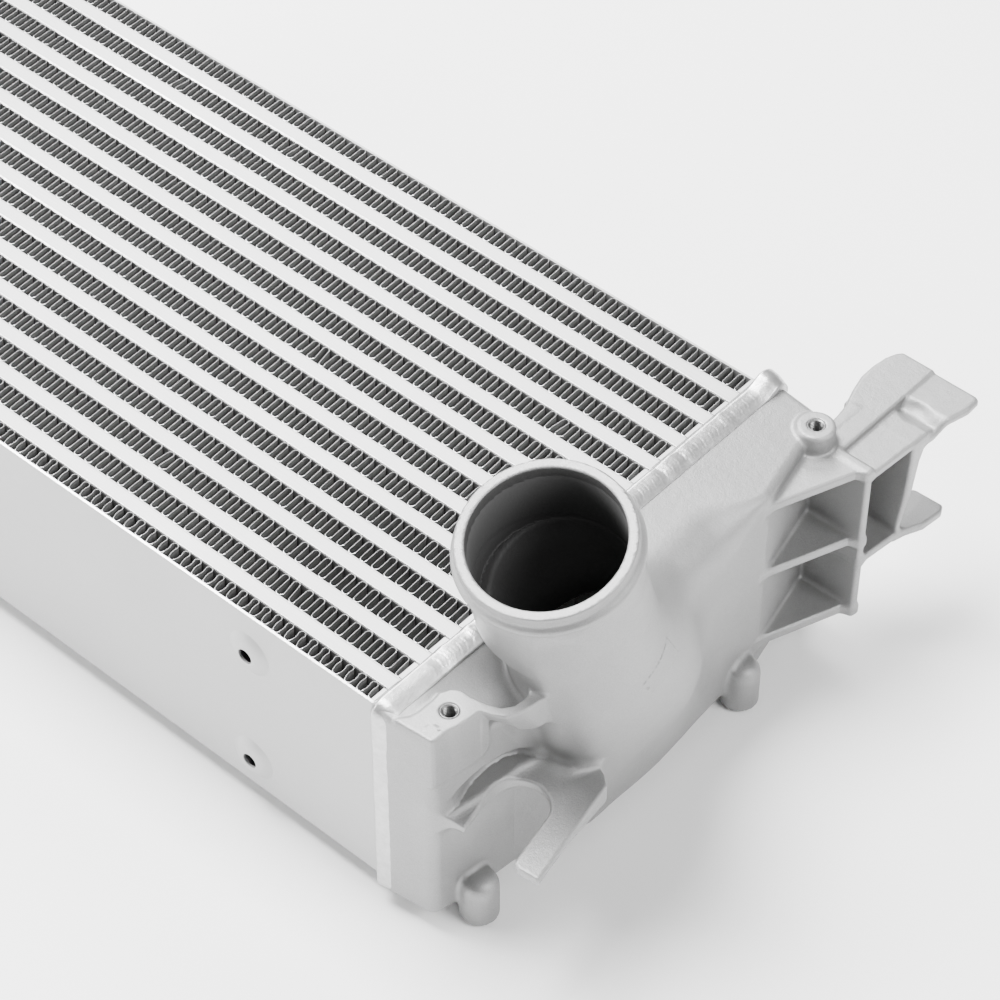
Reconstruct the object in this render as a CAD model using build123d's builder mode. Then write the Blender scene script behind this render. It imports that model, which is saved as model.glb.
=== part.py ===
from build123d import *
import math
import os

os.makedirs("parts", exist_ok=True)

# Intercooler, lying flat with both hose pipes up. Millimetres.
# Working frame: X runs along the core and is 0 where the fin rows end on the right,
# Y is 0 on the outside of the front side plate, Z is 0 on the upper face of the core.
# Everything is moved to the middle of its own outline just before it is written out.

# Core.
core_length = 640.0
core_depth = 138.2
row_pitch = 22.5
tube_height = 10.35
plate_thickness = 1.3
front_row_height = 9.6
tube_count = 13
header_bar_width = 10.0
sheet_thickness = 0.5
face_bar_height = 8.0
fin_row_height = row_pitch - tube_height
core_width = plate_thickness * 2 + front_row_height + tube_count * row_pitch

# Ambient fins and turbulators.
fin_waves = 26
fin_sheet = 0.5
fin_recess = 1.6
turbulator_waves = 8
turbulator_sheet = 0.5

# Side plate dimples.
dimple_x = -86.5
dimple_pitch = 88.6
dimple_z_lower = -core_depth + 19.8
dimple_z_upper = dimple_z_lower + dimple_pitch
dimple_base_radius = 11.0
dimple_top_radius = 5.2
dimple_height = 2.6
dimple_hole_radius = 3.2

# End tank.
wall = 4.5
rim_proud = 4.2
rim_depth = 7.0
joint_x = header_bar_width
tank_back = core_width + rim_proud
roof_at_rim = 0.5
roof_at_wall = -7.0
recess_floor = -8.0
recess_outline = [
    (19.0, 29.0), (23.0, 27.0), (26.8, 31.2), (31.7, 33.9), (37.6, 33.9), (46.5, 35.8), (53.4, 38.5),
    (57.3, 43.7), (57.3, 56.0), (45.0, 66.0), (19.0, 72.0)]
room_clearance = 0.6
end_wall_x = 64.0
tank_outline = [
    (joint_x, -rim_proud), (joint_x + rim_depth, -rim_proud), (42.5, -0.8), (47.0, 25.0),
    (50.0, 53.0), (end_wall_x, 100.0), (end_wall_x, 155.0), (61.0, 205.0), (60.0, 245.0),
    (47.0, 301.0), (44.0, tank_back), (joint_x, tank_back)]
tank_floor = -core_depth - rim_proud
corner_radius = 4.0
roof_edge_radius = 3.0

# Hose pipe.
bore_radius = 40.0
pipe_radius = 44.5
lip_radius = 45.6
bead_radius = 48.5
bead_down = 10.5
bead_half = 3.6
mouth = Vector(44.9, 80.0, 86.0)
pipe_axis = Vector(0.03, -0.255, 0.966).normalized()
spigot_length = 40.0
neck_step = 0.25
elbow_near_x = 18.0
# height, far x, front y, back y and squareness of each section of the elbow
elbow_sections = [
    (6.0, 90.0, 56.0, 145.0, 2.1),
    (-25.0, 92.0, 62.0, 165.0, 2.4),
    (-60.0, 91.5, 70.0, 176.0, 2.8),
    (tank_floor, 64.0, 78.0, 172.0, 3.2)]

# Tapped pad, tapped boss, pegs.
pad_top = 3.0
pad_hole = (35.6, 19.9)
boss_hole = (48.6, 297.8)
boss_radius = 11.0
boss_top = 2.0
insert_radius = 5.0
thread_radius = 4.0
thread_depth = 16.0
peg_radius = 11.3
peg_boss_radius = 11.8
peg_chamfer = 2.5
peg_bottom = tank_floor - 9.6
peg_shoulder_z = tank_floor + 13.0
peg_dome_height = 9.0
peg_dome_radius = 5.0
peg_spots = [(51.5, 23.9), (62.2, 228.3)]

# Slotted lug.
lug_top = -60.0
lug_thickness = 5.5
slot_centre = (67.9, 35.6)
slot_radius = 16.0
slot_lean = 11.0
scoop_radius = 31.0
scoop_top = (75.5, 24.0)
scoop_top_radius = 27.0
lug_outline = [
    (41.0, 6.6), (56.0, 6.6), (70.0, 2.0), (89.5, 5.5), (106.3, 6.4), (91.0, 84.0),
    (80.0, 100.0), (48.0, 75.0), (36.0, 52.0), (35.0, 30.0)]

# Pocketed bracket: shelves on the end wall, a box behind their web, and an arm with a flap.
shelf_tops = [-11.0, -63.5, -118.0]
shelf_thickness = 6.5
web_thickness = 5.5
web_y = 301.0
shelf_outline = [(60.0, 245.0), (79.5, 296.6), (86.0, web_y), (88.5, web_y + web_thickness),
                 (44.0, web_y + web_thickness), (47.0, web_y)]
box_near_x = 46.0
box_far_x = 89.0
box_back_y = 327.8
box_shelf_z = -79.0
ear_outline = [(box_near_x, web_y), (box_far_x, web_y), (90.5, 331.0), (95.5, 343.5), (97.0, 358.0),
               (94.6, 362.6), (76.0, 362.0), (box_near_x, 332.0)]
# Y and Z of the back wall of the box, which flares up towards the flap
flare = [(box_back_y, box_shelf_z - 5.0), (333.0, box_shelf_z - 5.0), (332.6, -72.0), (335.8, -63.0),
         (339.2, -51.0), (342.6, -32.6), (346.8, -20.5), (351.0, -17.0), (box_back_y, -17.0)]
arm_end_y = 385.0
arm_thickness = 5.5
arm_outline = [(44.0, web_y), (64.5, web_y), (64.5, arm_end_y), (42.6, arm_end_y), (40.0, 381.0),
               (38.2, 370.0), (38.0, 355.0), (39.3, 341.0), (41.7, 334.0), (44.4, 328.0), (44.8, 319.0)]
strip_outline = [(62.0, web_y), (84.0, web_y), (box_far_x, web_y + web_thickness), (90.0, 352.0),
                 (92.5, 361.0), (95.8, 373.8), (95.4, 383.2), (93.0, arm_end_y), (62.0, arm_end_y)]
# Y and Z of the upper face of the strip beside the arm: a step lower, a trough, then the flap
strip_line = [(web_y, -14.0), (346.0, -14.0), (353.0, -17.5), (361.0, -12.5), (arm_end_y, -11.5)]


def prism(points, bottom, top):
    """A solid standing on the outline, between two heights."""
    with BuildPart() as solid:
        with BuildSketch(Plane.XY.offset(bottom)):
            with BuildLine():
                Polyline(*points, close=True)
            make_face()
        extrude(amount=top - bottom)
    return solid.part


def oval(plane, half_x, half_y, power):
    """A closed smooth curve: an ellipse at power 2, squarer as the power grows."""
    points = []
    for step in range(16):
        across = math.cos(math.tau * step / 16)
        along = math.sin(math.tau * step / 16)
        points.append((half_x * math.copysign(abs(across) ** (2 / power), across),
                       half_y * math.copysign(abs(along) ** (2 / power), along)))
    with BuildSketch(plane) as section:
        with BuildLine():
            Spline(*points, periodic=True)
        make_face()
    return section.sketch


# Charge tubes: two face bars and two parting sheets brazed into one flat tube.
core_start = -core_length - header_bar_width
core_end = header_bar_width
first_tube_y = plate_thickness + front_row_height


def tube_y(index):
    return first_tube_y + index * row_pitch


charge_tubes = []
for index in range(tube_count):
    with BuildPart() as tube:
        with Locations(((core_start + core_end) / 2, tube_y(index) + tube_height / 2, -core_depth / 2)):
            Box(core_end - core_start, tube_height, core_depth)
            Box(core_end - core_start, tube_height - 2 * sheet_thickness,
                core_depth - 2 * face_bar_height, mode=Mode.SUBTRACT)
    tube.part.label = f"charge_tube_{index + 1:02d}"
    charge_tubes.append(tube.part)


# Folded sheets: a zigzag of one thickness, closed by the same line moved sideways.
def zigzag(start, length, low, high, waves, sheet):
    step = length / (2 * waves)
    slope = math.hypot(step, high - low) / step
    rise = sheet * slope
    under = []
    for index in range(2 * waves + 1):
        under.append((start + index * step, low if index % 2 == 0 else high - rise))
    over = [(x, y + rise) for x, y in reversed(under)]
    return under + over


def fin_row_limits(row):
    if row == 0:
        return plate_thickness, first_tube_y
    low = tube_y(row - 1) + tube_height
    return low, low + fin_row_height


ambient_fins = []
for row in range(tube_count + 1):
    low, high = fin_row_limits(row)
    with BuildPart() as fin:
        with BuildSketch(Plane.XY.offset(-core_depth + fin_recess)):
            with BuildLine():
                Polyline(*zigzag(-core_length + 1.0, core_length - 2.0, low, high, fin_waves, fin_sheet),
                         close=True)
            make_face()
        extrude(amount=core_depth - 2 * fin_recess)
    fin.part.label = f"ambient_fin_{row + 1:02d}"
    ambient_fins.append(fin.part)

turbulators = []
for index in range(tube_count):
    low = tube_y(index) + sheet_thickness
    high = tube_y(index) + tube_height - sheet_thickness
    inside = core_depth - 2 * face_bar_height
    with BuildPart() as turbulator:
        with BuildSketch(Plane.YZ.offset(core_start + 2.0)):
            with BuildLine():
                ridge = zigzag(-core_depth + face_bar_height, inside, low, high,
                               turbulator_waves, turbulator_sheet)
                Polyline(*[(y, z) for z, y in ridge], close=True)
            make_face()
        extrude(amount=core_end - core_start - 4.0)
    turbulator.part.label = f"turbulator_{index + 1:02d}"
    turbulators.append(turbulator.part)


# Header bars close the fin rows at each end.
def header_bars(start_x, name):
    with BuildPart() as bars:
        for row in range(tube_count + 1):
            low, high = fin_row_limits(row)
            with Locations((start_x + header_bar_width / 2, (low + high) / 2, -core_depth / 2)):
                Box(header_bar_width, high - low, core_depth)
    bars.part.label = name
    return bars.part


header_bars_right = header_bars(0.0, "header_bars_right")
header_bars_left = header_bars(core_start, "header_bars_left")


# Side plates.
def plate_blank(low_y):
    with BuildPart() as plate:
        with Locations(((core_start + core_end) / 2, low_y + plate_thickness / 2, -core_depth / 2)):
            Box(core_end - core_start, plate_thickness, core_depth)
    return plate.part


with BuildPart() as side_plate_front:
    add(plate_blank(0.0))
    for z in (dimple_z_upper, dimple_z_lower):
        with Locations(Location((dimple_x, -dimple_height / 2, z), (90, 0, 0))):
            Cone(dimple_base_radius, dimple_top_radius, dimple_height)
        with Locations(Location((dimple_x, plate_thickness - dimple_height / 2, z), (90, 0, 0))):
            Cone(dimple_base_radius, dimple_top_radius, dimple_height, mode=Mode.SUBTRACT)
        with Locations(Location((dimple_x, 0, z), (90, 0, 0))):
            Cylinder(dimple_hole_radius, 4 * dimple_height, mode=Mode.SUBTRACT)
side_plate_front.part.label = "side_plate_front"

with BuildPart() as side_plate_rear:
    add(plate_blank(core_width - plate_thickness))
side_plate_rear.part.label = "side_plate_rear"


# End tank: body, elbow and spigot outside; the same shapes one wall smaller inside.
def tank_body():
    with BuildPart() as body:
        with BuildSketch(Plane.XY.offset(tank_floor)) as plan:
            with BuildLine():
                Polyline(*tank_outline, close=True)
            make_face()
            corners = plan.vertices().filter_by(lambda corner: corner.X > joint_x + rim_depth + 1)
            fillet(corners, corner_radius)
        extrude(amount=rim_proud - tank_floor)
        with BuildSketch(Plane.XZ.offset(-tank_back - 1)):
            with BuildLine():
                Polyline((joint_x + rim_depth, roof_at_rim), (end_wall_x + 4, roof_at_wall),
                         (end_wall_x + 4, rim_proud + 2), (joint_x + rim_depth, rim_proud + 2), close=True)
            make_face()
        extrude(amount=tank_back + rim_proud + 2, mode=Mode.SUBTRACT)
        roof = body.faces().filter_by(lambda face: face.normal_at().Z > 0.9).sort_by(SortBy.AREA)[-1]
        outer = roof.edges().filter_by(lambda edge: edge.center().X > joint_x + rim_depth + 1)
        fillet(outer, roof_edge_radius)
    return body.part


def elbow():
    """The pipe below its spigot: round at the top, clear of the weld at the roof, then swelling
    outward and along the tank before it draws in to the tank floor."""
    base = mouth - pipe_axis * (spigot_length - 3.0)
    top_plane = Plane(origin=base, x_dir=(1, 0, -pipe_axis.X / pipe_axis.Z), z_dir=pipe_axis)
    radius = pipe_radius - neck_step
    with BuildPart() as solid:
        add(oval(top_plane, radius, radius, 2))
        for z, far_x, front_y, back_y, power in elbow_sections:
            centre = ((elbow_near_x + far_x) / 2, (front_y + back_y) / 2, z)
            add(oval(Plane(centre), (far_x - elbow_near_x) / 2, (back_y - front_y) / 2, power))
        loft()
    return solid.part


def spigot():
    """Neck, hose bead and flat mouth, turned about the pipe axis."""
    turn = Plane(origin=mouth, x_dir=(1, 0, -pipe_axis.X / pipe_axis.Z), z_dir=pipe_axis)
    side = Plane(origin=mouth, x_dir=turn.x_dir, z_dir=turn.x_dir.cross(pipe_axis))
    with BuildPart() as neck:
        with BuildSketch(side):
            with BuildLine():
                Polyline((0, 0), (lip_radius - 0.8, 0), (lip_radius, -0.8),
                         (lip_radius, -(bead_down - bead_half - 0.6)),
                         (bead_radius - 1.2, -(bead_down - bead_half + 0.8)), (bead_radius, -bead_down),
                         (bead_radius - 1.2, -(bead_down + bead_half - 0.8)),
                         (pipe_radius, -(bead_down + bead_half + 0.8)),
                         (pipe_radius, -spigot_length), (0, -spigot_length), close=True)
            make_face()
        revolve(axis=Axis(mouth, pipe_axis))
    return neck.part


def scoop(grow):
    """Room for the bolt and its tool above the slotted lug, leaning outward towards the pad."""
    with BuildPart() as solid:
        with BuildSketch(Plane.XY.offset(lug_top - grow)):
            with Locations(slot_centre):
                Circle(scoop_radius + grow)
        with BuildSketch(Plane.XY.offset(pad_top + 4)):
            with Locations(scoop_top):
                Circle(scoop_top_radius + grow)
        loft()
    return solid.part


pad_points = [(25.5, -3.6), (25.6, 10.4), (25.0, 25.5), (28.0, 32.0), (34.0, 34.0), (46.0, 35.6),
              (53.4, 38.8), (57.2, 44.0), (57.2, 66.0), (64.5, 66.0), (63.8, 44.5), (60.0, 36.0),
              (53.5, 31.0), (47.8, 29.0), (46.5, 20.0), (43.6, 2.0), (42.5, -0.8)]


def air_way():
    """The hidden inside of the elbow: the same sections one wall smaller, with flat sides."""
    sides = 16
    base = mouth - pipe_axis * (spigot_length - 3.0)
    radius = pipe_radius - neck_step - wall
    sections = [(Plane(origin=base, x_dir=(1, 0, -pipe_axis.X / pipe_axis.Z), z_dir=pipe_axis), radius, radius)]
    for z, far_x, front_y, back_y, power in elbow_sections:
        centre = ((elbow_near_x + far_x) / 2, (front_y + back_y) / 2, max(z, tank_floor + wall))
        sections.append((Plane(centre), (far_x - elbow_near_x) / 2 - wall, (back_y - front_y) / 2 - wall))
    with BuildPart() as solid:
        for plane, half_x, half_y in sections:
            with BuildSketch(plane):
                with BuildLine():
                    turns = [math.tau * (side + 0.5) / sides for side in range(sides)]
                    Polyline(*[(half_x * math.cos(turn), half_y * math.sin(turn)) for turn in turns], close=True)
                make_face()
        loft()
    return solid.part


def inner_room():
    """The air space: body and elbow one wall smaller, kept clear of scoop and tapped holes."""
    low = -core_depth + room_clearance
    with BuildPart() as room:
        with BuildSketch(Plane.XY.offset(low)):
            with BuildLine():
                Polyline(*tank_outline, close=True)
            make_face()
            offset(amount=-wall, kind=Kind.INTERSECTION)
        extrude(amount=-room_clearance - low)
        with Locations((joint_x + wall, core_width / 2, -core_depth / 2)):
            Box(2 * wall + 2, core_width - 2 * room_clearance, core_depth - 2 * room_clearance)
        with BuildSketch(Plane.XZ.offset(-tank_back - 1)):
            with BuildLine():
                Polyline((joint_x + 2, roof_at_rim - 2.0), (end_wall_x + 4, roof_at_wall - wall),
                         (end_wall_x + 4, 10), (joint_x + 2, 10), close=True)
            make_face()
        extrude(amount=tank_back + rim_proud + 2, mode=Mode.SUBTRACT)
        with Locations((end_wall_x / 2, 0, recess_floor - wall + 10)):
            Box(2 * end_wall_x, 2 * pad_hole[1] + 100, 20, mode=Mode.SUBTRACT)
        add(air_way())
        add(scoop(wall), mode=Mode.SUBTRACT)
        for x, y in (pad_hole, boss_hole):
            with Locations((x, y, -14)):
                Cylinder(9.0, 30.0, mode=Mode.SUBTRACT)
        with Locations((joint_x - 10, core_width / 2, 0)):
            Box(20, 2 * core_width, 800, mode=Mode.SUBTRACT)
    return room.part


def peg(x, y):
    """A locating peg under the floor, on a slightly wider boss that shows beside the end wall."""
    with BuildPart() as solid:
        with Locations((x, y, (peg_bottom + tank_floor + 1) / 2)):
            Cylinder(peg_radius, tank_floor + 1 - peg_bottom)
        chamfer(solid.faces().sort_by(Axis.Z)[0].edges(), peg_chamfer)
        with Locations((x, y, (tank_floor + peg_shoulder_z) / 2)):
            Cylinder(peg_boss_radius, peg_shoulder_z - tank_floor)
        with Locations((x, y, peg_shoulder_z + peg_dome_height / 2)):
            Cone(peg_boss_radius, peg_dome_radius, peg_dome_height)
    return solid.part


def shared_tank():
    with BuildPart() as tank:
        add(tank_body())
        add(elbow())
        add(prism(pad_points, -30.0, pad_top))
        with Locations((boss_hole[0], boss_hole[1], (boss_top - 32.0) / 2)):
            Cylinder(boss_radius, boss_top + 32.0)
        for x, y in peg_spots:
            add(peg(x, y))
        add(scoop(0.0), mode=Mode.SUBTRACT)
        with BuildPart(mode=Mode.PRIVATE) as recess:
            add(prism(recess_outline, recess_floor, rim_proud + 4))
            add(elbow(), mode=Mode.SUBTRACT)
        add(recess.part, mode=Mode.SUBTRACT)
        add(inner_room(), mode=Mode.SUBTRACT)
        add(spigot())
        with BuildSketch(Plane(origin=mouth, z_dir=pipe_axis)):
            Circle(bore_radius)
        extrude(amount=-spigot_length - 2.0, mode=Mode.SUBTRACT)
        for (x, y), top in ((pad_hole, pad_top), (boss_hole, boss_top)):
            with Locations((x, y, top - thread_depth / 2)):
                Cylinder(insert_radius, thread_depth, mode=Mode.SUBTRACT)
    return tank.part


def slotted_lug():
    lean = math.radians(slot_lean)
    ahead = (math.sin(lean), -math.cos(lean))
    middle = (slot_centre[0] + ahead[0] * 30, slot_centre[1] + ahead[1] * 30)
    with BuildPart() as lug:
        add(prism(lug_outline, lug_top - lug_thickness, lug_top))
        with BuildSketch(Plane.XY.offset(lug_top - lug_thickness - 5)):
            with Locations(slot_centre):
                Circle(slot_radius)
            with Locations(Location((middle[0], middle[1], 0), (0, 0, slot_lean))):
                Rectangle(2 * slot_radius, 60)
        extrude(amount=lug_thickness + 10, mode=Mode.SUBTRACT)
    return lug.part


def side_profile(points, low_x, high_x):
    """A solid of one outline in Y and Z, between two places along X."""
    with BuildPart() as solid:
        with BuildSketch(Plane.YZ.offset(low_x)):
            with BuildLine():
                Polyline(*points, close=True)
            make_face()
        extrude(amount=high_x - low_x)
    return solid.part


def bracket():
    ledge = shelf_tops[0]
    foot = shelf_tops[2] - shelf_thickness
    under_strip = [(y, z - arm_thickness) for y, z in reversed(strip_line)]
    with BuildPart() as solid:
        for top in shelf_tops:
            add(prism(shelf_outline, top - shelf_thickness, top))
        add(prism([(44.0, web_y), (86.0, web_y), (88.5, web_y + web_thickness), (44.0, web_y + web_thickness)],
                  foot, ledge - 1))
        add(prism(ear_outline, box_shelf_z - arm_thickness, box_shelf_z))
        add(side_profile(flare, box_near_x, box_far_x))
        add(prism([(box_near_x, web_y), (box_near_x + arm_thickness, web_y),
                   (box_near_x + arm_thickness, box_back_y + 3), (box_near_x, box_back_y + 3)],
                  box_shelf_z - 3, ledge - 2))
        add(prism(arm_outline, ledge - arm_thickness, ledge))
        with BuildPart(mode=Mode.PRIVATE) as strip:
            add(side_profile(strip_line + under_strip, 60.0, 100.0))
            add(prism(strip_outline, -40.0, 0.0), mode=Mode.INTERSECT)
        add(strip.part)
    return solid.part


with BuildPart() as end_tank_right:
    add(shared_tank())
    with BuildPart(mode=Mode.PRIVATE) as extras:
        add(slotted_lug())
        add(bracket())
        add(inner_room(), mode=Mode.SUBTRACT)
        with Locations((boss_hole[0], boss_hole[1], boss_top - thread_depth / 2)):
            Cylinder(insert_radius, thread_depth, mode=Mode.SUBTRACT)
    add(extras.part)
end_tank_right.part.label = "end_tank_right"

half_way = -core_length / 2
with BuildPart() as end_tank_left:
    add(shared_tank())
    mirror(about=Plane.YZ.offset(half_way), mode=Mode.REPLACE)
end_tank_left.part.label = "end_tank_left"


# Weld beads round both joints.
def weld_ring(name, mirrored):
    mid_y = core_width / 2
    mid_z = -core_depth / 2
    with BuildPart() as ring:
        for x, proud in ((3.5, 0.6), (6.0, 5.2), (9.0, 7.4), (13.0, 7.2), (17.0, rim_proud + 0.4)):
            with BuildSketch(Plane(origin=(x, mid_y, mid_z), x_dir=(0, 1, 0), z_dir=(1, 0, 0))):
                RectangleRounded(core_width + 2 * proud, core_depth + 2 * proud, 4.5)
        loft(ruled=True)
        with Locations((0, mid_y, mid_z)):
            Box(2 * joint_x, core_width, core_depth, mode=Mode.SUBTRACT)
        with Locations((joint_x + 10, mid_y, mid_z)):
            Box(20, core_width + 2 * rim_proud, core_depth + 2 * rim_proud, mode=Mode.SUBTRACT)
        if mirrored:
            mirror(about=Plane.YZ.offset(half_way), mode=Mode.REPLACE)
    ring.part.label = name
    return ring.part


weld_right = weld_ring("weld_right", False)
weld_left = weld_ring("weld_left", True)


# Steel thread inserts.
def inserts(name, mirrored):
    with BuildPart() as group:
        for (x, y), top in ((pad_hole, pad_top), (boss_hole, boss_top)):
            with Locations((x, y, top - thread_depth / 2)):
                Cylinder(insert_radius, thread_depth)
                Cylinder(thread_radius, thread_depth, mode=Mode.SUBTRACT)
        if mirrored:
            mirror(about=Plane.YZ.offset(half_way), mode=Mode.REPLACE)
    group.part.label = name
    return group.part


thread_inserts_right = inserts("thread_inserts_right", False)
thread_inserts_left = inserts("thread_inserts_left", True)

# Shift to the middle of the outline, standing on the pegs, and write out.
everything = (charge_tubes + ambient_fins + turbulators
              + [header_bars_right, header_bars_left, side_plate_front.part, side_plate_rear.part,
                 end_tank_right.part, end_tank_left.part, weld_right, weld_left,
                 thread_inserts_right, thread_inserts_left])
outline = Compound(children=[Compound(piece.wrapped) for piece in everything]).bounding_box()
middle = Vector((outline.min.X + outline.max.X) / 2, (outline.min.Y + outline.max.Y) / 2, outline.min.Z)
print("origin in the working frame:", round(middle.X, 3), round(middle.Y, 3), round(middle.Z, 3))
for piece in everything:
    name = piece.label
    moved = piece.moved(Location((-middle.X, -middle.Y, -middle.Z)))
    moved.label = name
    export_step(moved, f"parts/{name}.step")
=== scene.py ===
import math

import bpy
import numpy as np
from mathutils import Matrix, Vector


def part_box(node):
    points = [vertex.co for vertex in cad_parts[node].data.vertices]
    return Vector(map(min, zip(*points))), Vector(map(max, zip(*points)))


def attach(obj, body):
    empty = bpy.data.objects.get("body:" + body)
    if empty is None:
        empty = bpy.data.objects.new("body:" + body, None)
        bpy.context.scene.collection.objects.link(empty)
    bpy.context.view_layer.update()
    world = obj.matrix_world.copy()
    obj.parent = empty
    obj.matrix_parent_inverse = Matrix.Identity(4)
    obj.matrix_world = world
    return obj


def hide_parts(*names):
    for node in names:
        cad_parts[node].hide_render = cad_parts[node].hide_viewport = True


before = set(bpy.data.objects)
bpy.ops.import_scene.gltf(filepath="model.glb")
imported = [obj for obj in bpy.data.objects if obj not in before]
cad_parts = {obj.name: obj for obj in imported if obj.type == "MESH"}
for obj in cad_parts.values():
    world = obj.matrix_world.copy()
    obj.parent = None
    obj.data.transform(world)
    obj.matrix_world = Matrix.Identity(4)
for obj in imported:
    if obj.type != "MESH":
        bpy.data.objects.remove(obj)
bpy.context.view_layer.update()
rng = np.random.default_rng(7)

# Sizes shared with the CAD source.
CORE_LENGTH = 640.0
CORE_DEPTH = 138.2
CORE_WIDTH = 304.7
ROW_PITCH = 22.5
TUBE_HEIGHT = 10.35
FIRST_TUBE_Y = 10.9
TUBE_COUNT = 13
PLATE = 1.3
BAR_END = 10.0
HALF_WAY = -CORE_LENGTH / 2
MOUTH = np.array([44.9, 80.0, 86.0])
PIPE_AXIS = np.array([0.03, -0.255, 0.966])
PIPE_AXIS = PIPE_AXIS / np.linalg.norm(PIPE_AXIS)
BORE, NECK, LIP, BEAD = 40.0, 44.5, 45.6, 48.5
BEAD_DOWN, BEAD_HALF = 10.5, 3.6
BORE_LENGTH = 48.0
PAD_TOP, BOSS_TOP = 3.0, 2.0
PAD_HOLE, BOSS_HOLE = (35.6, 19.9), (48.6, 297.8)
HOLE_DEPTH = 17.5

# The shapes below are drawn in millimetres in the working frame of the CAD source: X is 0 where
# the fin rows end on the right, Y is 0 outside the front side plate, Z is 0 on top of the core.
# The low corner of the first charge tube is known in both frames, which ties them together.
FIRST_TUBE_CORNER = np.array([-CORE_LENGTH - BAR_END, FIRST_TUBE_Y, -CORE_DEPTH])
ORIGIN = FIRST_TUBE_CORNER - np.array(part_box("charge_tube_01")[0]) * 1000.0


def row(points):
    """Points of the working frame in the row's frame, in metres."""
    return (np.asarray(points, dtype=float) - ORIGIN) / 1000.0


def mesh_object(name, verts, faces, material, normals=None, smooth=True, replaces=(), body="root"):
    """A mesh piece that rides on the object, from working-frame points."""
    mesh = bpy.data.meshes.new(name)
    verts = row(verts)
    if isinstance(faces, np.ndarray):
        mesh.vertices.add(len(verts))
        mesh.vertices.foreach_set("co", verts.astype(np.float32).ravel())
        count, corners = faces.shape
        mesh.loops.add(count * corners)
        mesh.loops.foreach_set("vertex_index", faces.astype(np.int32).ravel())
        mesh.polygons.add(count)
        mesh.polygons.foreach_set("loop_start", np.arange(0, count * corners, corners, dtype=np.int32))
        mesh.polygons.foreach_set("loop_total", np.full(count, corners, dtype=np.int32))
        mesh.update(calc_edges=True)
        mesh.validate()
    else:
        mesh.from_pydata(verts.tolist(), [], faces)
        mesh.update()
    mesh.polygons.foreach_set("use_smooth", np.full(len(mesh.polygons), smooth))
    if normals is not None:
        mesh.normals_split_custom_set_from_vertices(normals.tolist())
    mesh.materials.append(material)
    obj = bpy.data.objects.new(name, mesh)
    bpy.context.scene.collection.objects.link(obj)
    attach(obj, body)
    if replaces:
        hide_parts(*replaces)
    return obj


# Materials.
class Nodes:
    """A short way to write a node tree."""

    def __init__(self, name):
        self.material = bpy.data.materials.new(name)
        self.material.use_nodes = True
        self.tree = self.material.node_tree
        self.shader = self.tree.nodes["Principled BSDF"]

    def add(self, kind, **inputs):
        node = self.tree.nodes.new(kind)
        for key, value in inputs.items():
            self.put(node, key, value)
        return node

    def put(self, node, key, value):
        socket = node.inputs[key]
        if isinstance(value, bpy.types.NodeSocket):
            self.tree.links.new(value, socket)
        else:
            socket.default_value = value

    def object_point(self):
        return self.add("ShaderNodeTexCoord").outputs["Object"]

    def noise(self, point, scale, detail=4.0, roughness=0.55, stretch=None):
        if stretch:
            mapping = self.add("ShaderNodeMapping")
            self.put(mapping, "Vector", point)
            mapping.inputs["Scale"].default_value = stretch
            point = mapping.outputs["Vector"]
        node = self.add("ShaderNodeTexNoise", Scale=scale, Detail=detail, Roughness=roughness)
        self.put(node, "Vector", point)
        return node.outputs["Fac"]

    def span(self, value, low, high, to_low, to_high):
        node = self.add("ShaderNodeMapRange")
        self.put(node, "Value", value)
        for key, number in (("From Min", low), ("From Max", high), ("To Min", to_low), ("To Max", to_high)):
            self.put(node, key, number)
        return node.outputs["Result"]

    def math(self, operation, a, b=0.0):
        node = self.tree.nodes.new("ShaderNodeMath")
        node.operation = operation
        for index, value in enumerate((a, b)):
            if isinstance(value, bpy.types.NodeSocket):
                self.tree.links.new(value, node.inputs[index])
            else:
                node.inputs[index].default_value = value
        return node.outputs[0]

    def grey(self, value, tint=(1.0, 1.0, 1.0)):
        node = self.add("ShaderNodeCombineColor")
        for channel, factor in zip(("Red", "Green", "Blue"), tint):
            self.put(node, channel, self.math("MULTIPLY", value, factor))
        return node.outputs["Color"]

    def bump(self, height, strength, distance):
        node = self.add("ShaderNodeBump", Strength=strength, Distance=distance)
        self.put(node, "Height", height)
        return node.outputs["Normal"]

    def surface(self, normal, colour, metallic, roughness):
        self.put(self.shader, "Normal", normal)
        self.put(self.shader, "Base Color", colour)
        self.put(self.shader, "Metallic", metallic)
        self.put(self.shader, "Roughness", roughness)
        return self.material


def bore_shade(m, point, sign):
    """How far a point is above the mouth along the pipe axis, and how far from that axis, in metres."""
    split = m.add("ShaderNodeSeparateXYZ")
    m.put(split, "Vector", point)
    mouth = row(MOUTH if sign > 0 else np.array([2 * HALF_WAY - MOUTH[0], MOUTH[1], MOUTH[2]]))
    along, square = 0.0, 0.0
    for axis, here, unit in zip("XYZ", mouth, (PIPE_AXIS[0] * sign, PIPE_AXIS[1], PIPE_AXIS[2])):
        offset = m.math("SUBTRACT", split.outputs[axis], float(here))
        part = m.math("MULTIPLY", offset, float(unit))
        whole = m.math("MULTIPLY", offset, offset)
        along = part if axis == "X" else m.math("ADD", along, part)
        square = whole if axis == "X" else m.math("ADD", square, whole)
    across = m.math("SQRT", m.math("SUBTRACT", square, m.math("MULTIPLY", along, along)))
    return along, across


def bore_painted_shade(m, along):
    """The painted shade of the bore: light at the rim, dark from 46 mm down."""
    shade = m.span(along, -0.046, -0.0005, 0.0, 1.0)
    return m.math("ADD", m.math("MULTIPLY", m.math("POWER", shade, 2.2), 0.15), 0.062)


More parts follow.
